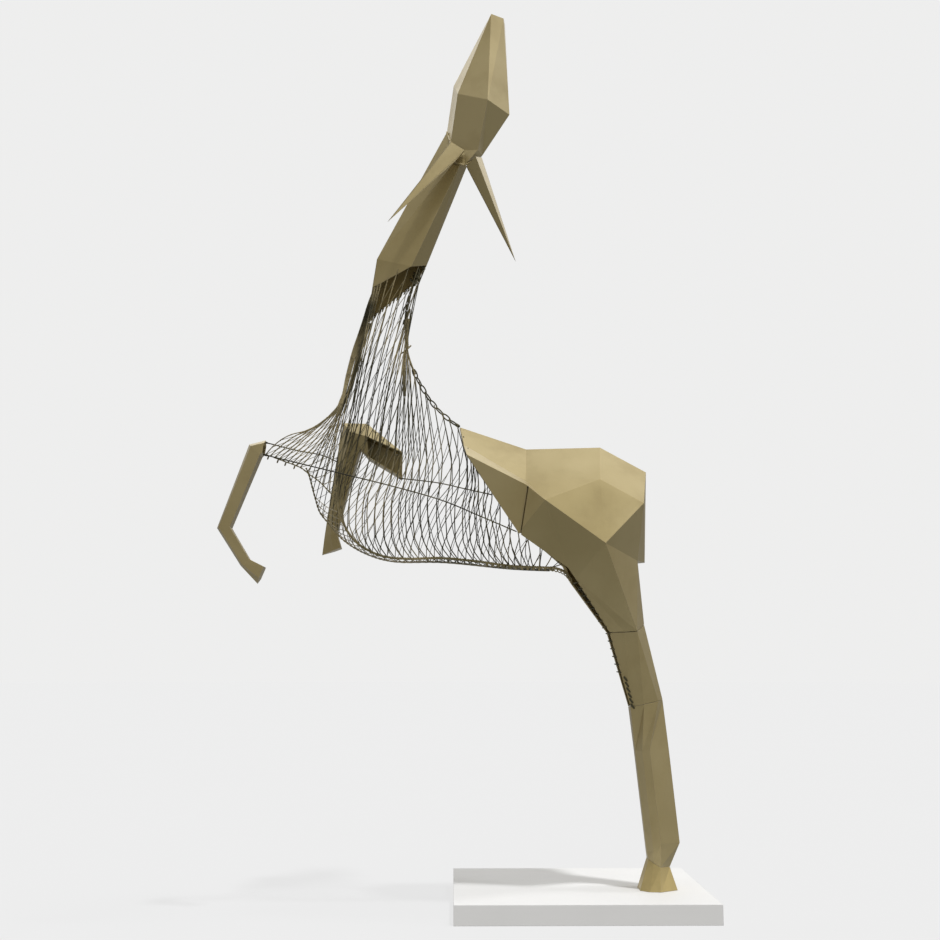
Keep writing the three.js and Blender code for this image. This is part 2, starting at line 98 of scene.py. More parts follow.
class Tree:
    """A short way to write a node tree."""

    def __init__(self, tree):
        self.tree = tree
        tree.nodes.clear()

    def node(self, kind, inputs=None, **settings):
        made = self.tree.nodes.new(kind)
        for name, value in settings.items():
            setattr(made, name, value)
        for name, value in (inputs or {}).items():
            if isinstance(value, bpy.types.NodeSocket):
                self.tree.links.new(value, made.inputs[name])
            else:
                made.inputs[name].default_value = value
        return made

    def noise(self, where, scale, detail=3.0, roughness=0.5):
        inputs = {"Vector": where, "Scale": scale, "Detail": detail, "Roughness": roughness}
        return self.node("ShaderNodeTexNoise", inputs).outputs["Fac"]

    def ramp(self, value, low, high, out_low=0.0, out_high=1.0):
        inputs = {"Value": value, "From Min": low, "From Max": high}
        inputs.update({"To Min": out_low, "To Max": out_high})
        return self.node("ShaderNodeMapRange", inputs).outputs["Result"]

    def math(self, operation, a, b=0.0):
        made = self.node("ShaderNodeMath", operation=operation)
        for socket, value in zip(made.inputs, (a, b)):
            if isinstance(value, bpy.types.NodeSocket):
                self.tree.links.new(value, socket)
            else:
                socket.default_value = value
        return made.outputs["Value"]

    def dot(self, a, b):
        return self.node("ShaderNodeVectorMath", {0: a, 1: b}, operation="DOT_PRODUCT").outputs["Value"]

    def bump(self, height, strength, distance, normal=None):
        inputs = {"Height": height, "Strength": strength, "Distance": distance}
        if normal is not None:
            inputs["Normal"] = normal
        return self.node("ShaderNodeBump", inputs).outputs["Normal"]

    def blend(self, factor, a, b):
        """Colour a where the factor is 0, and b where it is 1."""
        made = self.node("ShaderNodeMix", data_type="RGBA")
        for socket, value in ((made.inputs[0], factor), (made.inputs[6], a), (made.inputs[7], b)):
            if isinstance(value, bpy.types.NodeSocket):
                self.tree.links.new(value, socket)
            else:
                socket.default_value = value
        return made.outputs[2]


def new_material(name):
    material = bpy.data.materials.new(name)
    material.use_nodes = True
    return material, Tree(material.node_tree)


def finish_surface(tree, colour, roughness, normal, metallic):
    inputs = {"Base Color": colour, "Roughness": roughness, "Normal": normal, "Metallic": metallic}
    shader = tree.node("ShaderNodeBsdfPrincipled", inputs)
    tree.node("ShaderNodeOutputMaterial", {"Surface": shader.outputs["BSDF"]})
    return shader


# Finishes

BRONZE = (0.425, 0.340, 0.152, 1.0)
BRONZE_PALE = (0.510, 0.420, 0.212, 1.0)
BRONZE_BROWN = (0.330, 0.248, 0.102, 1.0)
# Painted shade: the dark olive that plates facing downwards are blended towards.
BRONZE_PAINTED_SHADE = (0.225, 0.188, 0.080, 1.0)
# Wear together with painted highlight: the pale colour along the folds.
BRONZE_WORN_HIGHLIGHT = (0.640, 0.550, 0.370, 1.0)
# Painted bounce light: a brighter gold copy of the plate colours for the hoof, standing for light
# thrown up from the white plinth.
HOOF_LIT_GOLD = (0.640, 0.490, 0.185, 1.0)
HOOF_LIT_PALE = (0.700, 0.560, 0.250, 1.0)
WIRE_OLIVE = (0.070, 0.064, 0.034, 1.0)
# Painted highlight: the gold that patches of the wires turn to, standing for lit lengths of wire.
WIRE_GOLD_HIGHLIGHT = (0.360, 0.300, 0.165, 1.0)
# Painted shade: the far copy of the wire is coloured with these two darker tones; the first also marks
# small dark specks on every wire.
WIRE_DARK = (0.036, 0.033, 0.021, 1.0)
WIRE_SHADE = (0.125, 0.112, 0.058, 1.0)
CORD_OLIVE = (0.200, 0.172, 0.085, 1.0)
PAINT_WHITE = (0.840, 0.842, 0.842, 1.0)
PAINT_SHADE = (0.800, 0.802, 0.800, 1.0)
PAINT_SCUFF = (0.620, 0.620, 0.600, 1.0)
FLOOR_PALE = (0.122, 0.123, 0.125, 1.0)
FLOOR_SHADE = (0.118, 0.119, 0.121, 1.0)
FLOOR_GLOW = 0.71  # light that the floor gives off, so that it is as bright as the room behind

FRONT_END = -0.72  # where along the body the painted highlight on the wires is strongest, in metres
REAR_END = -0.38  # and where it is weakest
FOLD_TURN = 0.80  # cosine of the turn at which a fold is wholly pale, with wear and painted highlight
FLAT_TURN = 0.99  # and of the turn up to which a plate counts as flat
PAINTED_SHADE_SLOPE = (-0.30, -0.04)  # slope between which the painted shade of a plate facing downwards fades out towards its flank
PAINTED_SHADE_DEPTH = 0.50
PLATE_METALLIC = 0.70
LACQUER = 0.60  # weight and roughness of the clear lacquer over the plate
LACQUER_ROUGHNESS = 0.32


def fold_mask(tree, radius):
    """1 on the sharp folds and edges of a plate and 0 on its flats, and the rounded normal."""
    rounded = tree.node("ShaderNodeBevel", {"Radius": radius}, samples=4).outputs["Normal"]
    true = tree.node("ShaderNodeNewGeometry").outputs["True Normal"]
    return tree.ramp(tree.dot(rounded, true), FLAT_TURN, FOLD_TURN), rounded


def bronze_plate(name, base, pale):
    """Satin golden-brown lacquer over folded sheet, paler along the folds with wear and painted
    highlight, and darker where it faces downwards as painted shade.
    """
    material, tree = new_material(name)
    where = tree.node("ShaderNodeTexCoord").outputs["Object"]
    clouds = tree.noise(where, 2.6, 4.0)
    patina = tree.noise(where, 9.0, 5.0, 0.6)
    grain = tree.noise(where, 620.0, 2.0)
    colour = tree.blend(tree.ramp(clouds, 0.38, 0.62), base, pale)
    colour = tree.blend(tree.ramp(patina, 0.50, 0.80, 0.0, 0.40), colour, BRONZE_BROWN)
    # Painted shade: plates that face downwards are darkened.
    facing = tree.node("ShaderNodeNewGeometry").outputs["True Normal"]
    upwards = tree.node("ShaderNodeSeparateXYZ", {"Vector": facing}).outputs["Z"]
    colour = tree.blend(tree.ramp(upwards, *PAINTED_SHADE_SLOPE, PAINTED_SHADE_DEPTH, 0.0), colour, BRONZE_PAINTED_SHADE)
    folds, rounded = fold_mask(tree, 2.2 * MM)
    # Paler along the folds: wear together with a painted highlight of the light caught on the folds.
    worn_and_highlight = tree.math("MULTIPLY", folds, tree.ramp(tree.noise(where, 34.0), 0.35, 0.65, 0.15, 0.5))
    colour = tree.blend(worn_and_highlight, colour, BRONZE_WORN_HIGHLIGHT)
    satin = tree.ramp(patina, 0.3, 0.7, 0.40, 0.50)
    roughness = tree.math("ADD", satin, tree.ramp(grain, 0.3, 0.7, -0.03, 0.03))
    height = tree.math("ADD", grain, tree.math("MULTIPLY", tree.noise(where, 60.0), 2.0))
    normal = tree.bump(height, 0.08, 0.6 * MM, rounded)
    shader = finish_surface(tree, colour, roughness, normal, PLATE_METALLIC)
    shader.inputs["Coat Weight"].default_value = LACQUER
    shader.inputs["Coat Roughness"].default_value = LACQUER_ROUGHNESS
    return material


def net_wire(name, base, bright, share=0.5, metallic=0.6, front=0.0):
    """Thin round wire of the same metal, darker, with a painted highlight in bright patches over a
    share of its length.

    With `front` above 0, that share grows towards the forelegs.
    """
    material, tree = new_material(name)
    where = tree.node("ShaderNodeTexCoord").outputs["Object"]
    patches = tree.noise(where, 7.0, 3.0)
    grain = tree.noise(where, 900.0, 2.0)
    middle = 0.5 + 0.22 * (0.5 - share)
    along = tree.node("ShaderNodeSeparateXYZ", {"Vector": where}).outputs["X"]
    # Painted highlight: patches of the wire are blended to the bright colour, more of them towards the
    # forelegs.
    patches = tree.math("ADD", patches, tree.ramp(along, FRONT_END, REAR_END, front, -0.6 * front))
    colour = tree.blend(tree.ramp(patches, middle - 0.10, middle + 0.10), base, bright)
    colour = tree.blend(tree.ramp(tree.noise(where, 120.0), 0.52, 0.72, 0.0, 0.6), colour, WIRE_DARK)
    roughness = tree.ramp(grain, 0.3, 0.7, 0.38, 0.52)
    finish_surface(tree, colour, roughness, tree.bump(grain, 0.25, 0.3 * MM), metallic)
    return material


def plinth_paint():
    """Matt white paint with a fine roller texture and slightly greyed edges."""
    material, tree = new_material("plinth_paint")
    where = tree.node("ShaderNodeTexCoord").outputs["Object"]
    mottle = tree.noise(where, 5.0, 4.0)
    roller = tree.noise(where, 380.0, 3.0)
    folds, rounded = fold_mask(tree, 2.5 * MM)
    colour = tree.blend(tree.ramp(mottle, 0.4, 0.7, 0.0, 0.6), PAINT_WHITE, PAINT_SHADE)
    scuffs = tree.math("MULTIPLY", folds, tree.ramp(tree.noise(where, 45.0), 0.5, 0.7, 0.0, 0.5))
    colour = tree.blend(scuffs, colour, PAINT_SCUFF)
    roughness = tree.ramp(mottle, 0.3, 0.7, 0.50, 0.60)
    finish_surface(tree, colour, roughness, tree.bump(roller, 0.12, 0.4 * MM, rounded), 0.0)
    return material


def floor_paint():
    """Plain pale paint that is as bright as the room behind it."""
    material, tree = new_material("floor_pale")
    where = tree.node("ShaderNodeTexCoord").outputs["Object"]
    colour = tree.blend(tree.noise(where, 1.5), FLOOR_PALE, FLOOR_SHADE)
    shader = tree.node("ShaderNodeBsdfPrincipled", {"Base Color": colour, "Roughness": 1.0})
    shader.inputs["Specular IOR Level"].default_value = 0.0
    shader.inputs["Emission Color"].default_value = (1.0, 1.0, 1.0, 1.0)
    shader.inputs["Emission Strength"].default_value = FLOOR_GLOW
    tree.node("ShaderNodeOutputMaterial", {"Surface": shader.outputs["BSDF"]})
    return material


# Light: a dim room with a broad bright ceiling to the right of the object and a pale wall behind it,
# and two openings in the ceiling that throw the soft shadows on the plinth. Polished surfaces reflect
# this room, and matt ones are lit evenly.

SKY_PALE = (0.855, 0.855, 0.852, 1.0)
SKY_TINT = (1.0, 0.985, 0.955, 1.0)
SKY_ROOM = 0.24
SKY_CEILING = 1.39
CEILING_AT = (0.38, -0.14, 0.914)
CEILING_FALL = 4.0  # how fast the ceiling's brightness falls off around its middle
SKY_WALL = 1.55
WALL_ACROSS = (0.15, 0.65)  # the ray's Y and Z between which the wall comes up to full brightness
WALL_UP = (0.15, 0.60)
SKY_BELOW = 0.42
HORIZON = (-0.12, 0.02)  # the ray's Z between which the light from below fades out
SKY_MATT = 0.54  # brightness of the room for matt surfaces, the same all round
# Rows of (name, direction that the light comes from, strength, spread in degrees).
LAMPS = [
    ("skylight", (0.20, -0.24, 0.95), 1.65, 4.0),
    ("window", (0.42, 0.0, 0.907), 0.40, 7.0),
]
FLOOR_RADIUS = 60.0
FLOOR_SIDES = 64


def add_world():
    """The room: pale and plain as the camera sees it, and with its light for everything else."""
    world = bpy.data.worlds.new("studio")
    world.use_nodes = True
    bpy.context.scene.world = world
    tree = Tree(world.node_tree)
    ray = tree.node("ShaderNodeTexCoord").outputs["Generated"]
    parts = tree.node("ShaderNodeSeparateXYZ", {"Vector": ray}).outputs
    glow = tree.math("POWER", tree.math("MAXIMUM", tree.dot(ray, CEILING_AT), 0.0), CEILING_FALL)
    level = tree.math("ADD", tree.math("MULTIPLY", glow, SKY_CEILING), SKY_ROOM)
    wall = tree.math("MULTIPLY", tree.ramp(parts["Y"], *WALL_ACROSS), tree.ramp(parts["Z"], *WALL_UP))
    level = tree.math("MAXIMUM", level, tree.math("MULTIPLY", wall, SKY_WALL))
    below = tree.ramp(parts["Z"], *HORIZON, SKY_BELOW, 0.0)
    level = tree.math("MAXIMUM", level, below)
    rays = tree.node("ShaderNodeLightPath").outputs
    polished = tree.math("MULTIPLY", level, tree.math("SUBTRACT", 1.0, rays["Is Diffuse Ray"]))
    level = tree.math("ADD", polished, tree.math("MULTIPLY", rays["Is Diffuse Ray"], SKY_MATT))
    light = tree.node("ShaderNodeBackground", {"Color": SKY_TINT, "Strength": level})
    plain = tree.node("ShaderNodeBackground", {"Color": SKY_PALE, "Strength": 1.0})
    halves = {0: rays["Is Camera Ray"], 1: light.outputs[0], 2: plain.outputs[0]}
    both = tree.node("ShaderNodeMixShader", halves)
    tree.node("ShaderNodeOutputWorld", {"Surface": both.outputs[0]})


def add_lamps():
    for name, direction, strength, spread in LAMPS:
        data = bpy.data.lights.new(name, "SUN")
        data.energy = strength
        data.angle = math.radians(spread)
        lamp = bpy.data.objects.new(name, data)
        lamp.rotation_euler = Vector(direction).to_track_quat("Z", "Y").to_euler()
        lamp.visible_glossy = False
        bpy.context.scene.collection.objects.link(lamp)


def add_floor():
    mesh = bpy.data.meshes.new("floor")
    turns = [2 * math.pi * n / FLOOR_SIDES for n in range(FLOOR_SIDES)]
    ring = [(FLOOR_RADIUS * math.cos(a), FLOOR_RADIUS * math.sin(a), 0.0) for a in turns]
    mesh.from_pydata(ring, [], [tuple(range(FLOOR_SIDES))])
    mesh.materials.append(floor_paint())
    floor = bpy.data.objects.new("floor", mesh)
    floor.visible_diffuse = False
    floor.visible_glossy = False
    bpy.context.scene.collection.objects.link(floor)


# Lines in space


def smooth(corners, per_span=16):
    """Dense points of a centripetal Catmull-Rom curve through the corners."""
    points = np.array(corners, float)
    padded = np.concatenate([[2 * points[0] - points[1]], points, [2 * points[-1] - points[-2]]])
    out = []
    for p0, p1, p2, p3 in zip(padded, padded[1:], padded[2:], padded[3:]):
        knots = [0.0]
        for a, b in ((p0, p1), (p1, p2), (p2, p3)):
            knots.append(knots[-1] + max(1e-6, np.linalg.norm(b - a)) ** 0.5)
        t0, t1, t2, t3 = knots
        t = np.linspace(t1, t2, per_span, endpoint=False)[:, None]
        a1 = (t1 - t) / (t1 - t0) * p0 + (t - t0) / (t1 - t0) * p1
        a2 = (t2 - t) / (t2 - t1) * p1 + (t - t1) / (t2 - t1) * p2
        a3 = (t3 - t) / (t3 - t2) * p2 + (t - t2) / (t3 - t2) * p3
        b1 = (t2 - t) / (t2 - t0) * a1 + (t - t0) / (t2 - t0) * a2
        b2 = (t3 - t) / (t3 - t1) * a2 + (t - t1) / (t3 - t1) * a3
        out.append((t2 - t) / (t2 - t1) * b1 + (t - t1) / (t2 - t1) * b2)
    return np.concatenate(out + [points[-1:]])


def lengths(line):
    """The distance along the line at each of its points."""
    return np.concatenate([[0.0], np.cumsum(np.linalg.norm(np.diff(line, axis=0), axis=1))])


def point_at(line, share):
    """The point at a share of the line's length; a list of shares gives a list of points."""
    run = lengths(line)
    place = np.asarray(share, float) * run[-1]
    return np.stack([np.interp(place, run, line[:, k]) for k in range(3)], axis=-1)


def stretch(line, start, end, step):
    """Evenly spaced points of the line between two shares of its length."""
    count = max(2, int(abs(end - start) * lengths(line)[-1] / step) + 1)
    return point_at(line, np.linspace(start, end, count))


def way_at(line, share):
    """The line's direction at a share of its length."""
    ahead = point_at(line, min(1.0, share + 0.01)) - point_at(line, max(0.0, share - 0.01))
    return unit(ahead)


def unit(v):
    return np.asarray(v, float) / max(np.linalg.norm(v), 1e-9)


def mix(a, b, t):
    return a + (b - a) * t


def table(value, rows):
    """Looks a value up in rows of (value, result), with straight lines between them."""
    return np.interp(value, [row[0] for row in rows], [row[1] for row in rows])


# Wires

KNOT_STEPS = np.array([-0.5, -0.3, 0.0, 0.3, 0.5])  # along a knot, as shares of its length
KNOT_GIRTH = np.array([0.55, 0.95, 1.0, 0.95, 0.55])  # and its girth there, as shares of its radius
RING_STEPS = 18  # straight lengths in a ring of wire
TWIST_STEPS = 8  # straight lengths in each turn of a twisted wire


class Wirework:
    """Gathers round wires and knots into one mesh. Its points are corners in millimetres."""

    def __init__(self):
        self.points = []
        self.faces = []

    def wire(self, line, radius, sides=6):
        """A round wire along a line; radius is one number or one for each point."""
        line = np.asarray(line, float)
        radii = np.broadcast_to(radius, len(line))
        ahead = np.gradient(line, axis=0)
        ahead /= np.maximum(np.linalg.norm(ahead, axis=1), 1e-9)[:, None]
        up = np.cross(ahead[0], [0.0, 1.0, 0.0])
        if np.linalg.norm(up) < 0.1:
            up = np.cross(ahead[0], [1.0, 0.0, 0.0])
        turns = 2 * math.pi * np.arange(sides) / sides
        first = len(self.points)
        for place, way, r in zip(line, ahead, radii):
            up = unit(up - way * np.dot(up, way))
            other = np.cross(way, up)
            for a in turns:
                self.points.append(place + r * (math.cos(a) * up + math.sin(a) * other))
        for n in range(len(line) - 1):
            for k in range(sides):
                a = first + n * sides + k
                b = first + n * sides + (k + 1) % sides
                self.faces.append((a, b, b + sides, a + sides))
        last = first + (len(line) - 1) * sides
        self.faces.append(tuple(range(first + sides - 1, first - 1, -1)))
        self.faces.append(tuple(range(last, last + sides)))

    def knot(self, place, way, radius, length):
        """A wrapped knot: a short spindle along the wire that it binds."""
        self.wire(place + np.outer(KNOT_STEPS * length, unit(way)), radius * KNOT_GIRTH)

    def loop(self, place, along, across, radius):
        """An oval ring of wire around a place, with half axes given as two vectors."""
        a = np.linspace(0, 2 * math.pi, RING_STEPS + 1)[:, None]
        ring = np.cos(a) * np.asarray(along) + np.sin(a) * np.asarray(across)
        self.wire(place + ring, radius, sides=5)

    def twist(self, line, spread, pitch, radius, strands=2):
        """Wires twisted around a line."""
        run = lengths(line)
        count = max(4, int(run[-1] / pitch * TWIST_STEPS))
        places = point_at(line, np.linspace(0, 1, count))
        ahead = np.gradient(places, axis=0)
        ahead /= np.linalg.norm(ahead, axis=1)[:, None]
        side = np.cross(ahead, [0.0, 1.0, 0.0])
        side /= np.maximum(np.linalg.norm(side, axis=1), 1e-6)[:, None]
        up = np.cross(ahead, side)
        for n in range(strands):
            a = (np.linspace(0, run[-1], count) / pitch + n / strands)[:, None] * 2 * math.pi
            self.wire(places + spread * (np.cos(a) * side + np.sin(a) * up), radius, sides=5)

    def piece(self, name, material, slot, *stands_for):
        """Makes the piece, which rides on the root body and hides the solids that it stands for."""
        mesh = bpy.data.meshes.new(name)
        mesh.from_pydata([tuple(p) for p in metres(self.points)], [], self.faces)
        mesh.polygons.foreach_set("use_smooth", [len(f) == 4 for f in self.faces])
        mesh.materials.append(material)
        made = bpy.data.objects.new(name, mesh)
        bpy.context.scene.collection.objects.link(made)
        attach(made, "root")
        if stands_for:
            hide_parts(*stands_for)


# The edges that the nets are laced to

NECK_RIM = {
    "throat": (-589, -85, 1754),
    "nape": (-475, -120, 1806),
    "crest": (-432, -60, 1828),
    "far_crest": (-462, 70, 1819),
    "far_throat": (-617, 110, 1704),
}
RIM_LEFT = {
    "saddle": (-323, -58, 1294),
    "girth": (-315, -110, 1258),
    "seam": (-171, -140, 1032),
    "groin": (-30, -96, 938),
}
RIM_RIGHT = {
    "saddle": (-303, 61, 1296),
    "girth": (-283, 112, 1262),
    "seam": (-132, 135, 1052),
    "groin": (-22, 90, 948),
}
SEAM_TOP = (-149, -140, 1168)  # upper end of the open joint beside the left panel
STIFLE = (-9, -90, 908)
HOCK = [(91, -34, 759), (132, -52, 760), (166, -62, 762), (194, -6, 782)]
CANNON_TOP = [(148, -24, 552), (185, -34, 559), (226, -30, 568), (242, -6, 571)]
TUCK = 10.0  # how far the wire ends lie inside the plate that they are laced to
RIM_REACH = (9.0, 0.0, 3.0)  # how far they run on behind the rim of the hindquarters
NAPE_HALF = 5.0  # how far each flank's net lies from the middle of the nape cord

NAPE = sighted(
    (423, 268, 0), (417, 284, 0), (413, 298, 0), (409.5, 313, 0), (407, 327, 0), (406.5, 340, 0),
    (407.5, 352, 0), (411, 364, 0), (416.5, 377, 0), (423, 389, 0), (430, 400, 0), (437, 408.5, 0),
    (450, 420.5, 0), (459, 426.5, 0),
)
NAPE_LINE = smooth(NAPE, 6)
LEFT_THROAT = sighted(
    (262, 440.5, -150), (278.8, 436.6, -146), (291, 434, -140), (303.8, 431.3, -132),
    (314.6, 426.4, -122), (325.4, 418.7, -110), (333.8, 411, -98), (340.5, 400, -82), (346, 375.4, -46),
    (352.6, 350, -30), (358.2, 333.8, -24), (363.2, 318.5, -32), (368, 303, -58), (373.5, 289, -85),
)
LEFT_BORDER = sighted(
    (262, 453, -152), (282, 460.5, -149), (300.6, 467.6, -147), (309.6, 474.5, -144),
    (318.6, 480.9, -142), (326.9, 489.2, -139), (334, 497.5, -136), (337.5, 506, -133),
    (339.5, 516, -129), (343.5, 525, -125), (349.2, 533.8, -119), (355.4, 541.5, -116),
    (367.7, 550, -112), (383.8, 556.4, -109), (407.7, 558.8, -107), (440, 558, -104),
    (475.9, 561.2, -101), (511.8, 566, -98), (554, 567.8, -90),
)
RIGHT_THROAT = sighted(
    (309, 473, 96), (324, 438, 70), (341, 407, 40), (350, 380, 20), (356, 356, 20), (361.5, 338, 55),
    (367.5, 323, 104),
)
RIGHT_BORDER = sighted(
    (306, 468, 92), (309, 475, 96), (314.7, 496.3, 106), (319.9, 512.3, 114), (327.2, 521.8, 118),
    (338, 535, 119), (350.8, 545.6, 118), (367.7, 554.6, 115), (390, 561, 110), (440, 562, 106),
    (487, 566, 102), (520, 568.5, 97), (554, 570, 86),
)


class NetSide:
    """One flank's net. Share u runs along its lower border from the foreleg to the groin, and v up."""

    def __init__(self, side, **shape):
        self.side = side
        self.throat = smooth(shape["throat"])
        self.border = smooth(shape["border"])
        self.tops = shape["tops"]
        self.swing = shape["swing"]
        self.bulge = shape["bulge"]
        self.pitch = shape["pitch"]
        self.joins = shape["joins"]
        collar = [NECK_RIM[name] for name in shape["collar"]]
        self.collar = smooth([self.tucked(corner, up=shape["tuck_up"]) for corner in collar])
        self.nape = NAPE_LINE + [0.0, side * NAPE_HALF, 0.0]
        rim = [shape["rim"][name] for name in ("saddle", "girth", "seam", "groin")]
        rim = [np.add(self.tucked(corner), RIM_REACH) for corner in rim]
        self.rim = np.array([self.nape[-1]] + rim)

    def tucked(self, corner, up=0.0):
        """The corner moved in behind its plate."""
        x, off, z = corner
        return (x, off - math.copysign(TUCK, off), z + up)

    def top(self, u):
        """Where a strand ends: its place counts 0 to 1 along the neck's rim, 1 to 2 along the nape
        and 2 to 3 along the rim of the hindquarters.
        """
        place = table(u, self.tops)
        if place < 1:
            return point_at(self.collar, place)
        if place < 2:
            return point_at(self.nape, place - 1)
        return point_at(self.rim, place - 2)

    def strand(self, u, count=64):
        """The points of one strand, from its foot on the border to its upper end."""
        gathered_to = self.joins[-1][0]
        if u < gathered_to:
            return self.gathered(u)
        v = np.linspace(0.0, 1.0, count)
        foot, top = point_at(self.border, u), self.top(u)
        line = mix(foot, top, v[:, None])
        length = np.linalg.norm(top - foot)
        onset = min(1.0, BULGE_START + (u - gathered_to) / BULGE_RISE)
        swell = LOWER_BULGE * onset * min(1.0, length / BULGE_LENGTH)
        taper = np.minimum(1.0, (1.0 - v) * length / TOP_TAPER)
        arch = np.sin(math.pi * v)
        fullness = min(1.0, 1.35 * math.sin(math.pi * min(1.0, 1.1 * u)))
        line[:, 0] -= swell * table(v * length, BULGE_SHAPE) * taper
        line[:, 0] += table(u, self.swing) * arch
        line[:, 1] += self.bulge * arch * fullness
        return line

    def gathered(self, u):
        """A strand that fans up from its foot into the bundle along the throat."""
        aside = np.array([1.0, -0.6 * self.side, -0.25]) * BUNDLE_WIDTH * u / self.joins[-1][0]
        join = table(u, self.joins)
        foot, meet = point_at(self.border, u), point_at(self.throat, join) + aside
        bend = meet - FAN_BEND * np.linalg.norm(meet - foot) * way_at(self.throat, join)
        t = np.linspace(0.0, 1.0, 24)[:, None]
        fan = (1 - t) ** 2 * foot + 2 * t * (1 - t) * bend + t**2 * meet
        bundle = point_at(self.throat, np.linspace(join, 1.0, 30)) + aside
        return np.concatenate([fan, bundle[1:]])


LOWER_BULGE = 33.0  # how far forward the strands swell above the border
BULGE_START = 0.15  # share of the swell on the first strand behind the gathered ones
BULGE_RISE = 0.14  # share of the border over which the swell grows
BULGE_LENGTH = 250.0  # strands shorter than this swell less
# Rows of (distance above the border, share of the swell).
BULGE_SHAPE = [
    (0, 0), (28, 0.6), (57, 0.93), (115, 1.0), (172, 0.88), (200, 0.6), (229, 0.36), (300, 0),
]
TOP_TAPER = 80.0  # over this length below its upper end a strand comes back to its straight line
BUNDLE_WIDTH = 15.0  # how far the last gathered strand lies beside the throat line
FAN_BEND = 0.45  # how early a gathered strand turns along the throat, as a share of its fan's length

# Rows of (share of the border, share of the throat at which the strand from there joins the bundle).
LEFT_JOINS = [(0, 0.12), (0.06, 0.30), (0.113, 0.45), (0.20, 0.64), (0.27, 0.82)]
RIGHT_JOINS = [(0, 0.25), (0.10, 0.42), (0.22, 0.62)]
# Rows of (share of the border, place at which the strand from there ends).
LEFT_TOPS = [
    (0, 0), (0.27, 0.03), (0.34, 0.16), (0.38, 0.34), (0.42, 0.66), (0.46, 1.03), (0.484, 1.26),
    (0.522, 1.354), (0.567, 1.478), (0.593, 1.517), (0.632, 1.635), (0.677, 1.758), (0.697, 1.848),
    (0.745, 1.95), (0.766, 2.0), (1, 3),
]
RIGHT_TOPS = [(0, 0), (0.20, 0.08), (0.46, 1.0), (0.60, 1.40), (0.75, 2.0), (1, 3)]
# Rows of (share of the border, how far back the middle of the strand from there swings).
LEFT_SWING = [
    (0.27, 0), (0.34, -12), (0.40, -30), (0.484, -34), (0.522, -14), (0.567, 0), (0.632, 4),
    (0.677, 6), (0.727, 17), (0.745, 20), (1, 0),
]
RIGHT_SWING = [(0.22, -18), (0.4, -34), (0.5, -38), (0.6, -16), (0.8, 8), (1, 0)]
LEFT_NET = NetSide(
    -1,
    collar=["throat", "nape", "crest"],
    rim=RIM_LEFT,
    throat=LEFT_THROAT,
    border=LEFT_BORDER,
    tops=LEFT_TOPS,
    swing=LEFT_SWING,
    bulge=-50.0,
    pitch=(27.0, 40.0),
    joins=LEFT_JOINS,
    tuck_up=14.0,
)
RIGHT_NET = NetSide(
    1,
    collar=["far_throat", "far_crest"],
    rim=RIM_RIGHT,
    throat=RIGHT_THROAT,
    border=RIGHT_BORDER,
    tops=RIGHT_TOPS,
    swing=RIGHT_SWING,
    bulge=42.0,
    pitch=(30.0, 44.0),
    joins=RIGHT_JOINS,
    tuck_up=2.0,
)


def spaced(*groups):
    """The strands' shares: groups of (first, last, count)."""
    return np.concatenate([np.linspace(first, last, count) for first, last, count in groups])


LEFT_STRANDS = spaced(
    (0.012, 0.120, 9), (0.145, 0.26, 5), (0.285, 0.365, 4), (0.39, 0.83, 20), (0.848, 0.992, 9)
)
RIGHT_STRANDS = spaced((0.02, 0.20, 7), (0.225, 0.83, 18), (0.860, 0.985, 5))
PITCH_GROWTH = 0.10  # each knot lies this much further on than the last
UNEVEN = 0.05  # how unevenly the knots are spaced, as a share of the pitch
LAST_KNOT = 6.0  # about how near the last knot may come to a strand's upper end
KNOT_STOUT = 1.25  # a knot's radius, as a share of its wire's
KNOT_LENGTH = 7.0
LINKS_AHEAD = 16  # how many linking wires start in front of the first strand
LINK_STEPS = 32  # how many knots a linking wire passes at most


def knots_of(line, pitch, chance):
    """The places of the knots on a strand, closest together near its foot."""
    total = lengths(line)[-1]
    places = [0.0]
    while places[-1] + pitch < total - LAST_KNOT:
        places.append(places[-1] + pitch * (1 + UNEVEN * chance.uniform(-1, 1)))
        pitch *= 1 + PITCH_GROWTH
    return point_at(line, np.array(places) / total)


def add_net(name, net, shares, wire, link, material, *stands_for):
    """One flank's strands from the border up, the wires that link them, and their knots.

    A linking wire crosses each next strand one knot further up. Its radius goes from the first to
    the second of `link` along the net.
    """
    work = Wirework()
    chance = np.random.default_rng(len(shares))
    lines = [net.strand(u) for u in shares]
    pitches = [table(u, [(0, net.pitch[0]), (1, net.pitch[1])]) for u in shares]
    knots = [knots_of(line, pitch, chance) for line, pitch in zip(lines, pitches)]
    for line in lines:
        work.wire(line, wire)
    for start in range(-LINKS_AHEAD, len(shares)):
        path = []
        for step in range(LINK_STEPS):
            i = start + step
            if 0 <= i < len(shares) and step < len(knots[i]):
                path.append(knots[i][step])
        if len(path) > 1:
            share = np.clip(start / len(shares), 0.0, 1.0)
            work.wire(smooth(path, 4), table(share, [(0, link[0]), (1, link[1])]), sides=5)
    for strand in knots:
        for before, place in zip(strand, strand[1:]):
            work.knot(place, place - before, wire * KNOT_STOUT, KNOT_LENGTH)
    work.piece(name, material, "net_wire", *stands_for)


# The cord along the nape: two wires that join in a wrapped band and go on as a chain of rings

# Rows of (picture x, picture y, radius, length) of the knots above the band.
NAPE_KNOTS = [
    (411.5, 291, 3.6, 20.0), (408.5, 299, 4.4, 22.0), (407, 307, 4.0, 20.0), (406.5, 315, 4.6, 22.0),
    (404, 322, 3.4, 16.0), (404, 309, 2.6, 14.0),
]
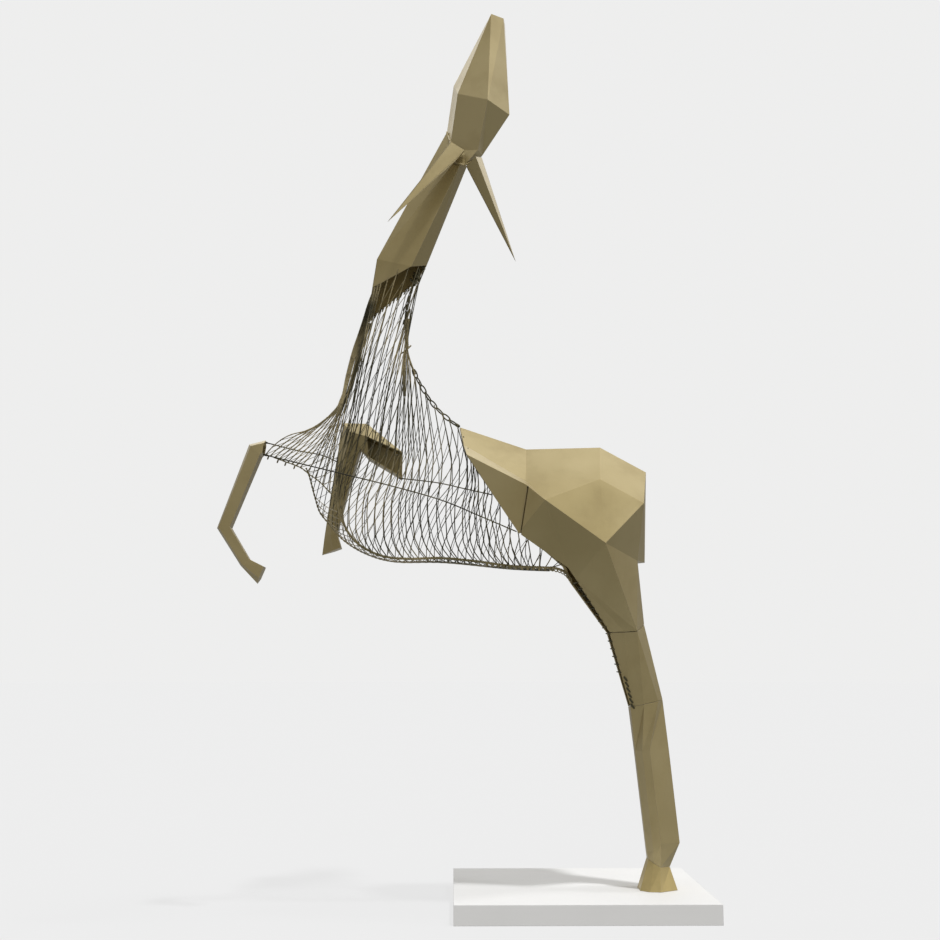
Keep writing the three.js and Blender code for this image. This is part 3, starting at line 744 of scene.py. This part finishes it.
# The wires above the band: their radii and the sightings along them.
NAPE_FORK = [
    (1.8, [(425, 268, 6), (416.5, 290, 4), (411.5, 312, 2), (409, 328, 0)]),
    (2.0, [(415, 281, -10), (409, 300, -8), (405.5, 314, -5), (405, 330, -3)]),
]
NAPE_CROSSING = [(400.5, 354, -14), (406, 350.5, -16), (411, 345.5, -10)]
CHAIN_RINGS = 8
CREST_LOOPS = 16  # rings in the tangle of wire at the top of the nape
CREST_TOP = (423, 268)  # where in the picture the tangle begins and ends
CREST_FOOT = (413, 283)
CREST_OFF = -38.0  # its middle depth, and how far it spreads from there
CREST_SPREAD = 30.0


def add_nape(cord_finish, wire_finish):
    """The wrapped band with its bundle of straight wires, the fork above it and the chain below."""
    cord = Wirework()
    band = stretch(NAPE_LINE, 0.30, 0.47, 3.0)
    ripple = 5.9 + 0.6 * np.cos(np.arange(len(band)) * math.pi)
    ripple[0] = ripple[-1] = 4.0
    cord.wire(band, ripple, sides=10)
    cord.wire(stretch(NAPE_LINE, 0.46, 0.62, 6.0), 3.0)
    for aside in (-2.6, 0.0, 2.6):
        corners = sighted((405.5, 350, -6), (404, 366, -12 + aside), (404.5, 396, -24))
        cord.wire(smooth(corners + [aside, 0, 0], 8), 1.9)
    cord.wire(sighted(*NAPE_CROSSING), 2.2)
    cord.piece("nape_band", cord_finish, "net_wire")
    chain = Wirework()
    for radius, sightings in NAPE_FORK:
        chain.wire(smooth(sighted(*sightings), 8), radius)
    for n in range(CHAIN_RINGS):
        share = mix(0.615, 0.965, n / (CHAIN_RINGS - 1))
        way = way_at(NAPE_LINE, share)
        flat = np.cross(way, [0.0, 1.0, 0.0])
        across = flat if n % 2 == 0 else 0.6 * flat + np.array([0.0, 0.8, 0.0])
        chain.loop(point_at(NAPE_LINE, share), 14.5 * way, 5.5 * across, 2.2)
    for x, y, radius, length in NAPE_KNOTS:
        chain.knot(sighted((x, y, -8))[0], [-0.25, 0.0, -1.0], radius, length)
    chain.knot(point_at(NAPE_LINE, 0.99), way_at(NAPE_LINE, 0.99), 5.0, 16.0)
    chance = np.random.default_rng(5)
    for _ in range(CREST_LOOPS):
        t = chance.uniform(0, 1)
        x, y = mix(np.array(CREST_TOP), np.array(CREST_FOOT), t)
        place = sighted((x, y, CREST_OFF + CREST_SPREAD * chance.uniform(-1, 1)))[0]
        place += chance.uniform(-1, 1, 3) * [7.0, 0.0, 8.0]
        chain.loop(place, unit(chance.normal(size=3)) * 10.0, unit(chance.normal(size=3)) * 5.0, 2.3)
    chain.piece("nape_chain", wire_finish, "net_wire")


# The borders, the net under the belly and the strip down the leg

PANEL_RIBS = 34  # wires across the belly, from the left border to the right one
RIB_SAG = 7.0
RIB_POINTS = 13


def add_belly(cord_finish, wire_finish):
    """The twisted borders of both nets and the thin net between them."""
    left, right = smooth(LEFT_BORDER), smooth(RIGHT_BORDER)
    edges = Wirework()
    edges.twist(stretch(left, 0.0, 0.36, 5.0), 0.9, 26.0, 1.3)
    edges.twist(stretch(left, 0.35, 1.0, 5.0), 1.9, 22.0, 1.9, strands=3)
    edges.twist(stretch(right, 0.0, 1.0, 5.0), 1.4, 24.0, 1.5)
    tail = smooth(sighted((552, 567.6, -91), (560, 569.5, -88), (566, 573, -84), (570, 578, -78)), 6)
    edges.twist(tail, 2.2, 20.0, 2.0, strands=3)
    for n in range(7):
        edges.loop(point_at(tail, n / 6) + [0.0, -3.0, -4.0], [3.0, 0.0, -5.5], [3.5, 1.0, 2.0], 1.6)
    for n in range(12):
        share = mix(0.80, 0.99, n / 11)
        edges.knot(point_at(left, share) + [0.0, 0.0, -3.0], [0.35, 0.0, -1.0], 3.6, 12.0)
    edges.piece("net_borders", cord_finish, "net_wire")
    panel = Wirework()
    shares = np.linspace(0.30, 0.985, PANEL_RIBS)
    partners = np.linspace(0.10, 0.985, PANEL_RIBS)
    ribs = []
    for u, w in zip(shares, partners):
        t = np.linspace(0, 1, RIB_POINTS)[:, None]
        rib = mix(point_at(left, u), point_at(right, w), t)
        rib[:, 2] -= RIB_SAG * np.sin(math.pi * t[:, 0])
        ribs.append(rib)
        panel.wire(rib, 1.1, sides=5)
    for start in range(-6, len(ribs)):
        path = [ribs[start + n][2 * n] for n in range(7) if 0 <= start + n < len(ribs)]
        if len(path) > 1:
            panel.wire(smooth(path, 3), 1.0, sides=5)
    for n in range(8):
        share = mix(0.62, 0.76, n / 7)
        panel.loop(point_at(left, share) + [0.0, 10.0, -6.0], [7.0, 0.0, -1.0], [0.0, 1.5, 4.5], 1.3)
    for share in (0.022, 0.052, 0.076, 0.104):
        panel.knot(point_at(left, share) + [-2.0, 0.0, -5.0], [-0.35, 0.0, -1.0], 2.2, 13.0)
    panel.piece("wire_net_belly", wire_finish, "net_wire", "net_belly")


LACED_TO = 0.78  # share of the leg's open front that has lacing along it
# How far behind the leg's front edge the lacing's loops lie, on the left flank (1) and the right (-1).
LACED_IN = {1: -3.5, -1: 9.0}
LACING_PITCH = 22.0
STRIP_CROSSES = 17
TIES = 6  # thick ties at the strip's lower end
TIES_FROM = (625.6, 679.0, -32.0)  # the first and the last of them, as sightings
TIES_TO = (632.6, 706.3, -28.0)
STRIP_IN = np.array([17.0, 12.0, -3.0])  # how far inside the leg's left front edge the strip lies


def add_strip(wire_finish):
    """The strip across the open front of the leg, and the lacing that holds it to the plates."""
    work = Wirework()
    edge = np.array([STIFLE, HOCK[0], CANNON_TOP[0]], float)
    for side in (1, -1):
        line = edge * [1.0, side, 1.0]
        inner = line + STRIP_IN * [1.0, side, 1.0]
        work.twist(stretch(inner, 0.02, 0.97, 6.0), 1.2, 20.0, 1.2)
        count = int(lengths(line)[-1] / LACING_PITCH)
        for n in range(count):
            share = (n + 0.5) / count
            way = way_at(line, share)
            inwards = np.cross(way, [0.0, 1.0, 0.0])
            place = point_at(line, share) + LACED_IN[side] * inwards + [0.0, side * 4.0, 0.0]
            if share < LACED_TO:
                work.loop(place, 7.0 * unit(inwards + 0.5 * way), [0.0, 6.0, 0.0], 1.6)
    for n in range(STRIP_CROSSES):
        for flip in (1, -1):
            a = point_at(edge, mix(0.03, 0.90, n / STRIP_CROSSES)) + STRIP_IN
            b = point_at(edge, mix(0.03, 0.90, (n + 1) / STRIP_CROSSES)) + STRIP_IN
            line = np.array([a * [1.0, flip, 1.0], b * [1.0, -flip, 1.0]])
            work.wire(point_at(line, np.linspace(0, 1, 5)), 1.1, sides=5)
    for n in range(TIES):
        place = sighted(mix(np.array(TIES_FROM), np.array(TIES_TO), n / (TIES - 1)))[0]
        work.knot(place, [1.0, 0.0, -1.3], 2.8, 17.0)
    work.piece("wire_net_leg", wire_finish, "net_wire", "net_leg")


STAYS = {
    "left": [
        (-876, -164, 1246), (-700, -164, 1203), (-520, -168, 1158), (-380, -166, 1118),
        (-280, -152, 1078), (-176, -134, 1036),
    ],
    "right": [(-512, 180, 1231), (-400, 168, 1216), (-320, 150, 1196), (-236, 112, 1172)],
    "breast": [(-878, -148, 1284), (-800, -90, 1272), (-742, 20, 1277), (-702, 158, 1277)],
}


def add_stays(material):
    """The long stay wires through the body, from rim to rim."""
    for place, corners in STAYS.items():
        work = Wirework()
        work.wire(smooth(corners, 10), 1.7)
        work.knot(corners[0], np.subtract(corners[1], corners[0]), 3.0, 14.0)
        work.piece("stay_" + place, material, "net_wire", "stay_wire_" + place)


def add_straps(material):
    """Straps inside the shells that back the open joints between the plates."""
    work = Wirework()
    for side, rim in ((1, RIM_LEFT), (-1, RIM_RIGHT)):
        top, foot = np.array(SEAM_TOP, float), np.array(rim["seam"], float)
        foot[1] = -abs(foot[1])
        line = np.array([top, foot]) * [1.0, side, 1.0] + [4.0, side * 9.0, 0.0]
        work.wire(stretch(line, 0.03, 0.995, 20.0), 6.5, sides=4)
    for ring in (HOCK, CANNON_TOP):
        whole = np.array(ring + [(x, -off, z) for x, off, z in reversed(ring)], float)
        centre = whole.mean(axis=0)
        inner = centre + (whole - centre) * [0.86, 0.80, 1.0]
        for a, b in zip(inner, inner[1:]):
            work.wire(np.array([a, mix(a, b, 0.5), b]) + [0.0, 0.0, 1.5], 2.6, sides=4)
    work.piece("seam_straps", material, "bronze_plate")


HEAD_JOINT = [
    (-374, 10, 2270), (-363, -52, 2214), (-352, -85, 2136), (-321, -93, 2124), (-296, -72, 2146),
]


def add_joints(material):
    """The weld beads along the joint between the head and the neck."""
    work = Wirework()
    for a, b in zip(HEAD_JOINT, HEAD_JOINT[1:]):
        work.wire(stretch(np.array([a, b], float), 0.0, 1.0, 12.0), 3.6)
    work.piece("weld_beads", material, "bronze_plate")


NECK_RINGS = 14
ARM_TOP = [(-618, 150, 1402), (-511, 156, 1290)]  # the right upper arm's top edge
ARM_TIES = 5


def add_lacing(material):
    """Rings that hold the far net to the neck's rim, and ties between the right foreleg and its net."""
    work = Wirework()
    rim = np.array([NECK_RIM["far_throat"], NECK_RIM["far_crest"]], float)
    for n in range(NECK_RINGS):
        place = point_at(rim, (n + 0.5) / NECK_RINGS) + [0.0, -3.0, -3.0]
        work.loop(place, [3.0, 0.0, 8.0], [0.0, 7.0, 0.0], 1.3)
    arm_top = np.array(ARM_TOP, float)
    for n in range(ARM_TIES):
        place = point_at(arm_top, (n + 0.5) / ARM_TIES)
        work.wire(np.array([place, place - [4.0, 22.0, 6.0], place - [6.0, 42.0, 4.0]]), 1.2, sides=5)
    work.piece("net_lacing", material, "net_wire")


# Putting it together

add_camera()
add_world()
add_lamps()
add_floor()
bpy.context.scene.view_settings.view_transform = "Standard"

plate_finish = bronze_plate("bronze_plate", BRONZE, BRONZE_PALE)
# Painted bounce light: the hoof gets a brighter gold copy of the plate finish.
hoof_lit_finish = bronze_plate("bronze_plate_hoof_lit", HOOF_LIT_GOLD, HOOF_LIT_PALE)
near_finish = net_wire("net_wire", WIRE_OLIVE, WIRE_GOLD_HIGHLIGHT, 0.36, front=0.10)
# Painted shade: a darker copy of the same wire for the far net, the nape chain and the stays.
far_shaded_finish = net_wire("net_wire_far_painted_shade", WIRE_DARK, WIRE_SHADE, 0.5)
cord_finish = net_wire("cord_wire", CORD_OLIVE, WIRE_GOLD_HIGHLIGHT, 0.35)
paint_finish = plinth_paint()

for name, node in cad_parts.items():
    node.data.materials.clear()
    if name == "plinth":
        node.data.materials.append(paint_finish)
    elif name == "hind_hoof":
        node.data.materials.append(hoof_lit_finish)
    elif name.startswith(("net_", "stay_")):
        node.data.materials.append(near_finish)
    else:
        node.data.materials.append(plate_finish)

add_net("wire_net_left", LEFT_NET, LEFT_STRANDS, 1.5, (0.8, 1.5), near_finish, "net_left")
add_net("wire_net_right", RIGHT_NET, RIGHT_STRANDS, 1.15, (0.7, 0.8), far_shaded_finish, "net_right")
add_nape(cord_finish, far_shaded_finish)
add_belly(cord_finish, near_finish)
add_strip(near_finish)
add_stays(far_shaded_finish)
add_straps(plate_finish)
add_joints(plate_finish)
add_lacing(near_finish)
